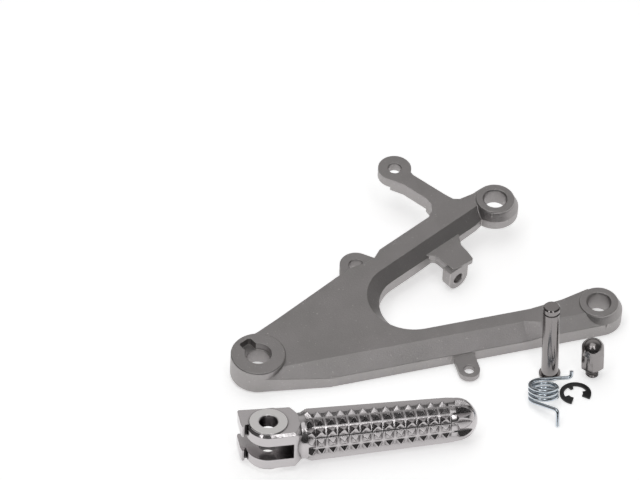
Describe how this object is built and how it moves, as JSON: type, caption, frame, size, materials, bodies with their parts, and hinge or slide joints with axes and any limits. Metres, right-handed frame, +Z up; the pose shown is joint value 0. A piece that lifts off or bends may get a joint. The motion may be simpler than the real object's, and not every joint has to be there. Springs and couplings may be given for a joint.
{
  "type": "rear set footrest",
  "caption": "Motorcycle rear set footrest laid out loose: forked cast hanger, knurled folding footpeg, pivot pin, return spring, retaining ring and banking feeler.",
  "frame": {"origin": "on the floor, at the middle of the whole set's bounding box", "axes": "+Z up from the floor, +X to the right and +Y away in the view that the set is laid out for"},
  "size_m": [0.179, 0.1914, 0.041],
  "materials": {
    "cast_satin_aluminium": "fine satin silver-grey coat over a sand-cast surface",
    "polished_aluminium": "tumbled and bright polished casting",
    "bright_steel": "turned and bright nickel plated",
    "zinc_steel": "bright blue zinc plated spring wire",
    "black_steel": "black phosphated spring steel"
  },
  "bodies": {
    "root": {"bracket": "cast_satin_aluminium", "footpeg": "polished_aluminium", "pivot_pin": "bright_steel", "return_spring": "zinc_steel", "e_clip": "black_steel", "banking_pin": "bright_steel"}
  },
  "joints": []
}
